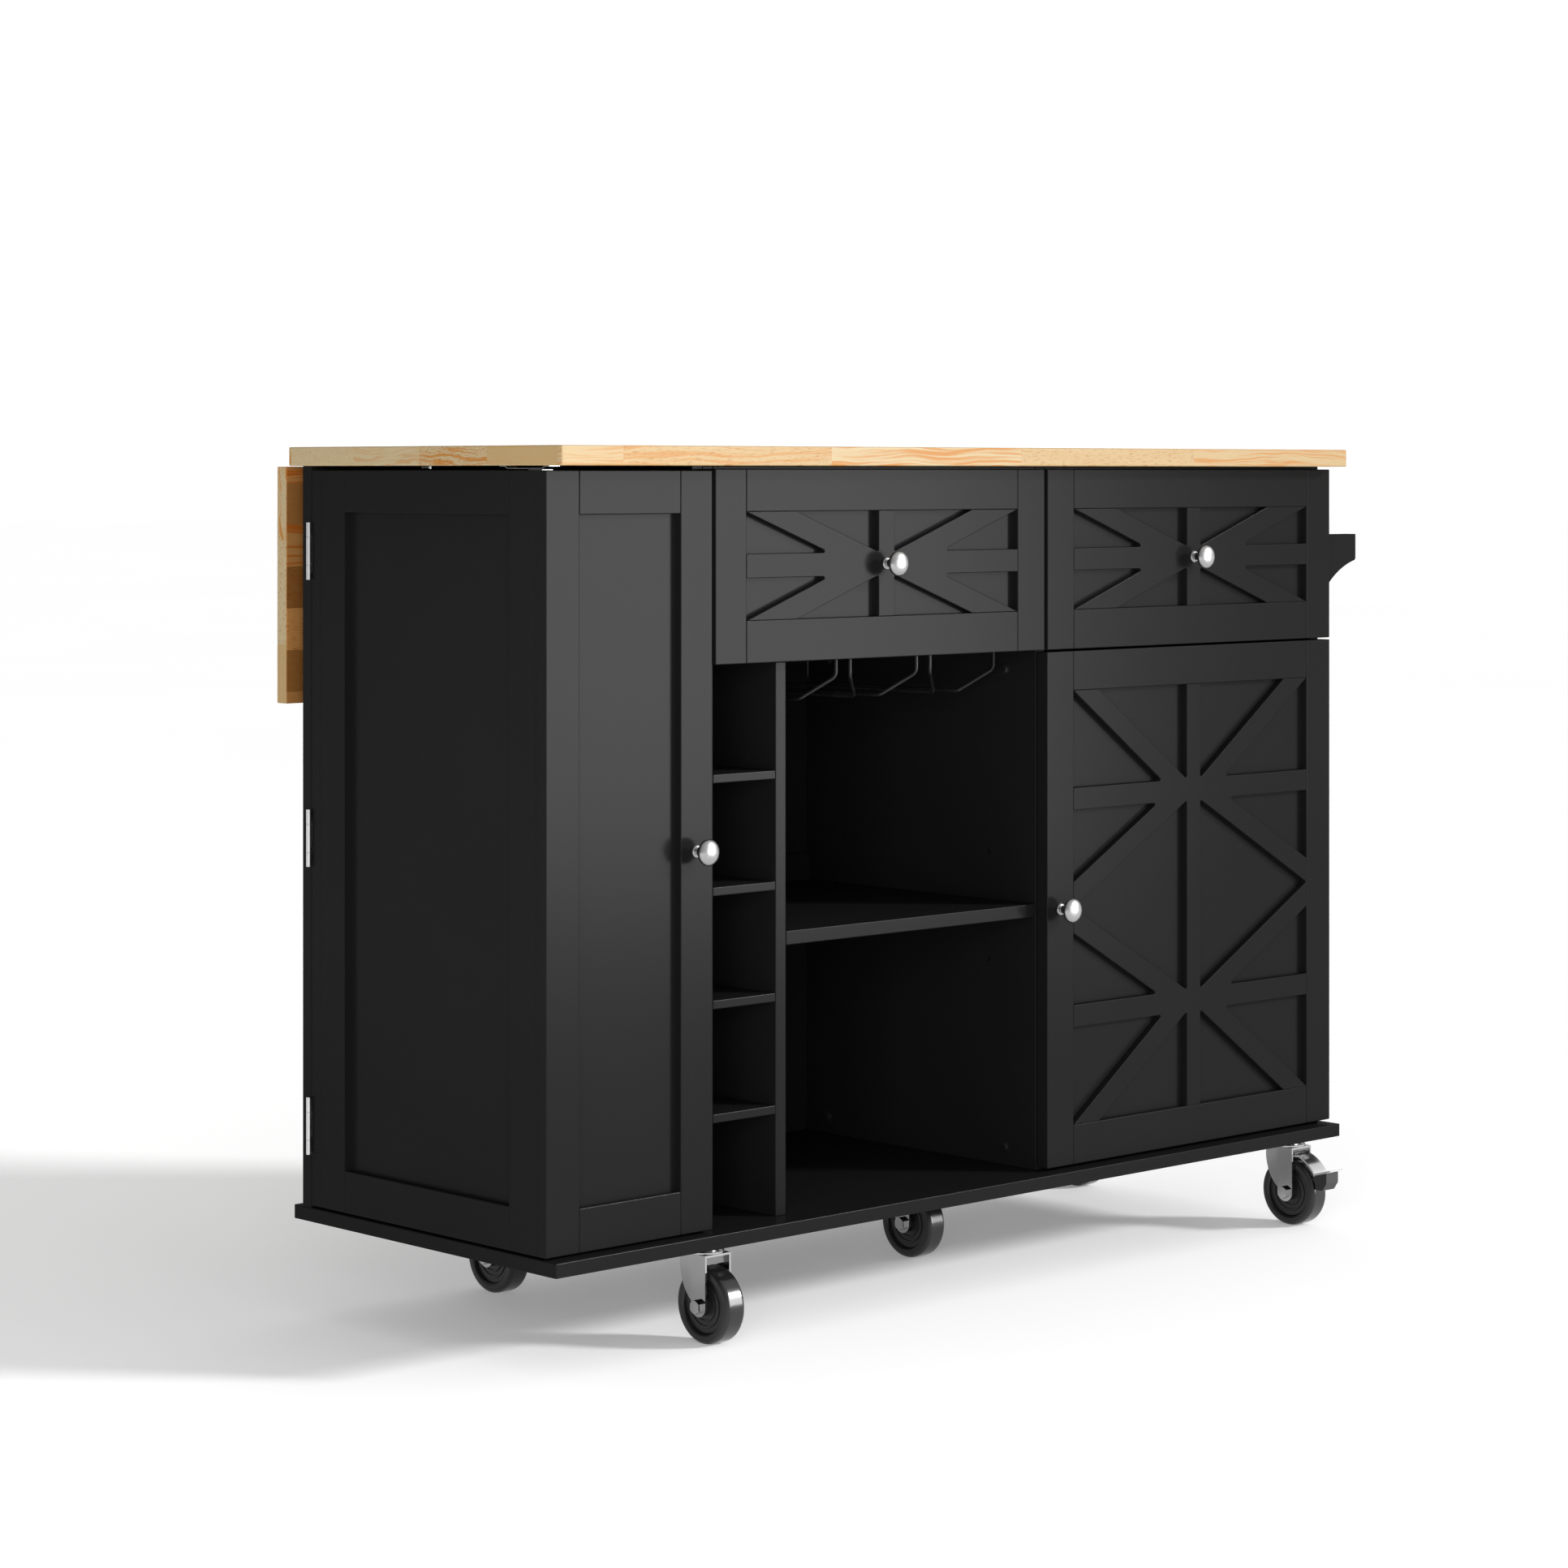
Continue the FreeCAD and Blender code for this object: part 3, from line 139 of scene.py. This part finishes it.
# ---- Materials ----------------------------------------------------------------------------

PAINT = (0.0100, 0.0099, 0.0098)
PAINT_DARK = (0.0084, 0.0083, 0.0082)
PAINT_ROUGHNESS = (0.34, 0.40)
PAINT_EDGE = 0.0012     # radius of a painted board's softened edges
NICKEL_EDGE = 0.002     # the same on knobs and hinges


def painted_board():
    """Satin charcoal lacquer with a faint orange-peel surface."""
    g = Graph("painted_board")
    place = g.place()
    cloud = g.noise(place, 3.0)
    g.set(Base_Color=g.ramp(cloud, [(0.3, PAINT_DARK), (0.7, PAINT)]),
          Roughness=g.between(g.noise(place, 14.0), 0.2, 0.8, *PAINT_ROUGHNESS),
          Specular_IOR_Level=0.0, Coat_Weight=0.12, Coat_Roughness=0.22)
    g.bump(g.noise(place, 260.0, 2.0), 0.00004, soften=PAINT_EDGE)
    return g.material


STAVE = 0.045           # width of a wood stave
BLOCK = 0.29            # usual length of a finger-jointed block
SHORT = 2.6             # blocks on the end edges are this many times shorter
SEED = 4.0              # picks which blocks are flamed, dotted or plain
PALE = (0.44, 0.350, 0.205)
HONEY = (0.40, 0.270, 0.120)
FLAME = (0.41, 0.180, 0.040)
PORE = (0.27, 0.100, 0.018)
LEAF_PAINTED_SHADE = (0.55, 0.33, 0.17)     # painted shade: the leaf's inner face is made darker and browner, varied per stave


def rubberwood(name="rubberwood", hanging=False):
    """Finger-jointed staves along X; on the end faces along Y, or up if the board hangs, and then its
    inner face gets painted shade.
    """
    g = Graph(name)
    coord = g.new("ShaderNodeTexCoord")
    split = g.new("ShaderNodeSeparateXYZ", {0: coord.outputs["Object"]})
    facing = g.new("ShaderNodeSeparateXYZ", {0: coord.outputs["Normal"]})
    on_end = g.math("GREATER_THAN", g.math("ABSOLUTE", facing.outputs["X"]), 0.7)
    x, y, z = (split.outputs[axis] for axis in "XYZ")
    end_along, end_across = (z, y) if hanging else (y, z)
    along = g.choose(on_end, x, g.math("MULTIPLY", end_along, SHORT))
    across = g.choose(on_end, g.math("ADD", y, z), end_across)
    stave = g.math("FLOOR", g.math("DIVIDE", across, STAVE))
    shift = g.new("ShaderNodeTexWhiteNoise", {"W": stave}, noise_dimensions="1D")
    piece = g.math("FLOOR", g.math("ADD", g.math("DIVIDE", along, BLOCK), shift.outputs["Value"]))
    mark = g.new("ShaderNodeCombineXYZ", {"X": piece, "Y": stave, "Z": g.math("ADD", on_end, SEED)})
    chance = g.new("ShaderNodeTexWhiteNoise", {"Vector": mark.outputs[0]},
                   noise_dimensions="3D")
    draw = g.new("ShaderNodeSeparateColor", {0: chance.outputs["Color"]})
    tone, flamed, dotted = (draw.outputs[channel] for channel in ("Red", "Green", "Blue"))

    # Each block is cut from another part of the grain: bent growth lines, and pores as short dots.
    lift = g.math("MULTIPLY", tone, 7.0)
    laid = g.new("ShaderNodeCombineXYZ", {"X": along, "Y": g.math("ADD", across, lift), "Z": 0.0})
    bend = g.noise(g.scaled(laid.outputs[0], (7.0, 24.0, 1.0)), 1.0, 2.0)
    bent = g.math("ADD", g.math("ADD", across, lift), g.math("MULTIPLY", bend, 0.022))
    curved = g.new("ShaderNodeCombineXYZ", {"X": along, "Y": bent, "Z": 0.0})
    lines = g.noise(g.scaled(curved.outputs[0], (5.0, 270.0, 1.0)), 1.0, 3.0, 0.6)
    pores = g.noise(g.scaled(laid.outputs[0], (95.0, 850.0, 1.0)), 1.0, 2.0, 0.6)

    # Some blocks are flamed, some dotted, and most are nearly plain.
    board = g.mix(g.between(tone, 0.40, 1.0, 0.0, 1.0), PALE, HONEY)
    streak = g.math("MULTIPLY", g.between(lines, 0.48, 0.58, 0.0, 1.0),
                    g.between(flamed, 0.40, 0.60, 0.12, 1.0))
    dots = g.math("MULTIPLY", g.between(pores, 0.55, 0.66, 0.0, 1.0),
                  g.between(dotted, 0.55, 0.70, 0.10, 0.85))
    colour = g.mix(dots, g.mix(streak, board, FLAME), PORE)
    # Painted shade: on the hanging leaf, the face turned towards -Y is darkened and browned, more or
    # less by stave.
    if hanging:
        painted_shade_side = g.math("LESS_THAN", facing.outputs["Y"], -0.5)
        painted_shade_tint = g.mix(tone, tuple(1.5 * part for part in LEAF_PAINTED_SHADE),
                     tuple(0.75 * part for part in LEAF_PAINTED_SHADE))
        colour = g.mix(painted_shade_side, colour, g.mix(1.0, colour, painted_shade_tint, "MULTIPLY"))
    g.set(Base_Color=colour, Roughness=g.between(lines, 0.3, 0.7, 0.40, 0.5),
          Specular_IOR_Level=0.2)
    g.bump(pores, 0.00005)
    return g.material


def plywood():
    """Pale birch plywood of the drawer boxes."""
    g = Graph("drawer_wood")
    grain = g.noise(g.scaled(g.place(), (6.0, 6.0, 160.0)), 1.0, 4.0)
    g.set(Base_Color=g.ramp(grain, [(0.3, (0.52, 0.36, 0.20)), (0.7, (0.66, 0.50, 0.31))]),
          Roughness=0.55)
    g.bump(grain, 0.00005)
    return g.material


def metal(name, colour, roughness, spread, scratch, soften=0.0):
    """A metal with a slightly uneven finish."""
    g = Graph(name)
    place = g.place()
    cloud = g.noise(place, scratch)
    dim = tuple(channel * 0.9 for channel in colour)
    g.set(Base_Color=g.ramp(cloud, [(0.25, dim), (0.75, colour)]), Metallic=1.0,
          Roughness=g.between(cloud, 0.2, 0.8, roughness - spread, roughness + spread))
    g.bump(g.noise(place, scratch * 6), 0.00001, soften)
    return g.material


def black_steel():
    """Glossy black enamel on the stemware rack, the screws and the pins."""
    g = Graph("black_steel")
    cloud = g.noise(g.place(), 40.0)
    g.set(Base_Color=g.ramp(cloud, [(0.3, (0.008, 0.008, 0.009)), (0.7, (0.014, 0.014, 0.015))]),
          Roughness=g.between(cloud, 0.2, 0.8, 0.30, 0.40), Specular_IOR_Level=0.35)
    return g.material


def wheel_black():
    """Polished black nylon: the tread is glossier than the sides."""
    g = Graph("wheel_black")
    place = g.place()
    cloud = g.noise(place, 30.0)
    facing = g.new("ShaderNodeSeparateXYZ", {0: g.new("ShaderNodeTexCoord").outputs["Normal"]})
    side = g.math("ABSOLUTE", facing.outputs["X"])
    gloss = g.math("ADD", g.between(side, 0.3, 0.95, 0.16, 0.36), g.math("MULTIPLY", cloud, 0.05))
    g.set(Base_Color=g.ramp(cloud, [(0.3, (0.006, 0.006, 0.006)), (0.7, (0.011, 0.011, 0.011))]),
          Roughness=gloss, Specular_IOR_Level=0.55)
    return g.material


PAD_AHEAD = 0.0336      # the pad starts this far ahead of the brake's pin
PAD_BELOW = 0.0196      # and its top there is this far below the pin
TAB_SLOPE = math.tan(math.radians(15.4))


def brake(name, pivot):
    """Bright lever with a black pad; the pad is what lies below the tab and ahead of the band."""
    g = Graph(name)
    place = g.place()
    split = g.new("ShaderNodeSeparateXYZ", {0: place})
    ahead = g.math("SUBTRACT", pivot[1] - PAD_AHEAD, split.outputs["Y"])
    edge = g.math("ADD", g.math("MULTIPLY", ahead, TAB_SLOPE), pivot[2] - PAD_BELOW)
    below = g.math("LESS_THAN", split.outputs["Z"], edge)
    pad = g.math("MULTIPLY", below, g.math("GREATER_THAN", ahead, 0.0))
    cloud = g.noise(place, 60.0)
    steel = g.ramp(cloud, [(0.3, (0.62, 0.62, 0.62)), (0.7, (0.74, 0.74, 0.74))])
    g.set(Base_Color=g.mix(pad, steel, (0.008, 0.008, 0.008)),
          Metallic=g.math("SUBTRACT", 1.0, pad),
          Roughness=g.between(pad, 0.0, 1.0, 0.2, 0.4))
    return g.material


def pale_rubber():
    """Matt off-white rubber of the small domed buffer."""
    g = Graph("pale_rubber")
    cloud = g.noise(g.place(), 60.0)
    g.set(Base_Color=g.ramp(cloud, [(0.3, (0.50, 0.49, 0.46)), (0.7, (0.56, 0.55, 0.52))]),
          Roughness=0.75)
    return g.material


MAKERS = {
    "painted_board": painted_board,
    "rubberwood": rubberwood,
    "drawer_wood": plywood,
    "nickel": lambda: metal("nickel", (0.42, 0.42, 0.42), 0.28, 0.05, 50.0, NICKEL_EDGE),
    "chrome": lambda: metal("chrome", (0.50, 0.50, 0.50), 0.10, 0.03, 30.0),
    "zinc_steel": lambda: metal("zinc_steel", (0.70, 0.70, 0.70), 0.30, 0.06, 80.0),
    "black_steel": black_steel,
    "pale_rubber": pale_rubber,
    "wheel_black": wheel_black,
}


def dress(node, material):
    """Give a node its material."""
    node.data.materials.clear()
    node.data.materials.append(material)


def dress_all():
    """Material by slot, with its own for the hanging leaf and for each brake."""
    made = {slot: maker() for slot, maker in MAKERS.items()}
    for name, node in NODES.items():
        dress(node, made[SLOT_OF[name]])
    # The leaf's own material also paints shade on its inner face.
    dress(NODES["drop_leaf"], rubberwood("rubberwood_leaf", hanging=True))
    for end in ("front_right", "back_right"):
        dress(NODES["brake_" + end], brake("brake_" + end, JOINTS["brake_" + end]["pos_m"]))


# ---- Studio -------------------------------------------------------------------------------

CAMERA_FROM_CORNER = Vector((-2.4875, -2.9775, -0.0072))   # from the worktop's front-left corner
CAMERA_TURN = 43.127
LENS = 89.885
SENSOR = 36
RISE = -0.1985          # upward shift of the level camera's frame

KEY_FROM = Vector((0.68, -0.73, 0.424))     # towards the sun
KEY_AWAY = 5
KEY_STRENGTH = 3.0
KEY_SPREAD = 9                              # degrees, for soft shadow edges
SHEEN_FROM = Vector((2.1, -3.6, 0.2))       # lamp places and aims are from the cart's middle
SHEEN_TO = Vector((-0.5, 0, 0.1))
SHEEN_POWER = 185
SHEEN_SIDE = 2.2
FILL_FROM = Vector((-3.3, -3.0, 0.5))
FILL_POWER = 95
FILL_SIDE = 2.0
FLOOR_HALF = 60.0
FLOOR_GLOW = 0.21
SKY_TOWARDS = (0.7, -0.7, 0.2)              # the surroundings are brightest this way
SKY_DIM = 0.18
SKY_BRIGHT = 0.80
SKY_SEEN = 1.1                              # strength of the plain backdrop


def camera():
    """A level camera with a raised frame."""
    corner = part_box("worktop")[0]
    data = bpy.data.cameras.new("camera")
    data.lens = LENS
    data.sensor_width = SENSOR
    data.shift_y = RISE
    eye = bpy.data.objects.new("camera", data)
    eye.location = corner + CAMERA_FROM_CORNER
    eye.rotation_euler = (math.radians(90), 0, -math.radians(CAMERA_TURN))
    bpy.context.collection.objects.link(eye)
    bpy.context.scene.camera = eye


def aim(light, target):
    """Turn a light to look at a point."""
    direction = Vector(target) - light.location
    light.rotation_euler = direction.to_track_quat("-Z", "Y").to_euler()


def lamp(name, kind, location, target, energy, **settings):
    """Add a light, aimed at a point."""
    data = bpy.data.lights.new(name, kind)
    data.energy = energy
    for key, value in settings.items():
        setattr(data, key, value)
    light = bpy.data.objects.new(name, data)
    light.location = location
    bpy.context.collection.objects.link(light)
    aim(light, target)
    return light


def lay_floor():
    """A wide, near-white floor."""
    mesh = bpy.data.meshes.new("floor")
    half = FLOOR_HALF
    corners = [(-half, -half, 0), (half, -half, 0), (half, half, 0), (-half, half, 0)]
    mesh.from_pydata(corners, [], [(0, 1, 2, 3)])
    floor = bpy.data.objects.new("floor", mesh)
    bpy.context.collection.objects.link(floor)
    g = Graph("floor")
    g.set(Base_Color=g.ramp(g.noise(g.place(), 0.5), [(0.3, (0.86, 0.86, 0.86)),
                                                      (0.7, (0.88, 0.88, 0.88))]),
          Roughness=0.9, Specular_IOR_Level=0.1, Emission_Color=(1, 1, 1, 1),
          Emission_Strength=FLOOR_GLOW)
    mesh.materials.append(g.material)


def light_cart():
    """A soft sun and a wide sheen panel from the front right, and a fill from the left."""
    middle = (CAD_BOX[0] + CAD_BOX[1]) / 2
    lamp("key", "SUN", middle + KEY_FROM * KEY_AWAY, middle, KEY_STRENGTH,
         angle=math.radians(KEY_SPREAD))
    sheen = lamp("sheen", "AREA", middle + SHEEN_FROM, middle + SHEEN_TO, SHEEN_POWER,
                 shape="RECTANGLE", size=SHEEN_SIDE, size_y=SHEEN_SIDE)
    sheen.visible_diffuse = False
    fill = lamp("fill", "AREA", middle + FILL_FROM, middle, FILL_POWER,
                shape="RECTANGLE", size=FILL_SIDE, size_y=FILL_SIDE)
    fill.visible_glossy = False


def surround():
    """A plain white backdrop that lights the cart more from its right than from its left."""
    world = bpy.data.worlds.new("studio")
    world.use_nodes = True
    nodes, links = world.node_tree.nodes, world.node_tree.links
    back = nodes["Background"]
    side = nodes.new("ShaderNodeVectorMath")
    side.operation = "DOT_PRODUCT"
    side.inputs[1].default_value = SKY_TOWARDS
    links.new(nodes.new("ShaderNodeTexCoord").outputs["Generated"], side.inputs[0])
    level = nodes.new("ShaderNodeMapRange")
    for name, value in (("From Min", -0.8), ("From Max", 0.8),
                        ("To Min", SKY_DIM), ("To Max", SKY_BRIGHT)):
        level.inputs[name].default_value = value
    links.new(side.outputs["Value"], level.inputs["Value"])
    ray = nodes.new("ShaderNodeLightPath")
    strength = nodes.new("ShaderNodeMix")
    links.new(ray.outputs["Is Camera Ray"], strength.inputs["Factor"])
    links.new(level.outputs["Result"], strength.inputs["A"])
    strength.inputs["B"].default_value = SKY_SEEN
    links.new(strength.outputs["Result"], back.inputs["Strength"])
    back.inputs["Color"].default_value = (1, 1, 1, 1)
    bpy.context.scene.world = world
    bpy.context.scene.view_settings.view_transform = "Standard"


dress_all()
camera()
lay_floor()
light_cart()
surround()
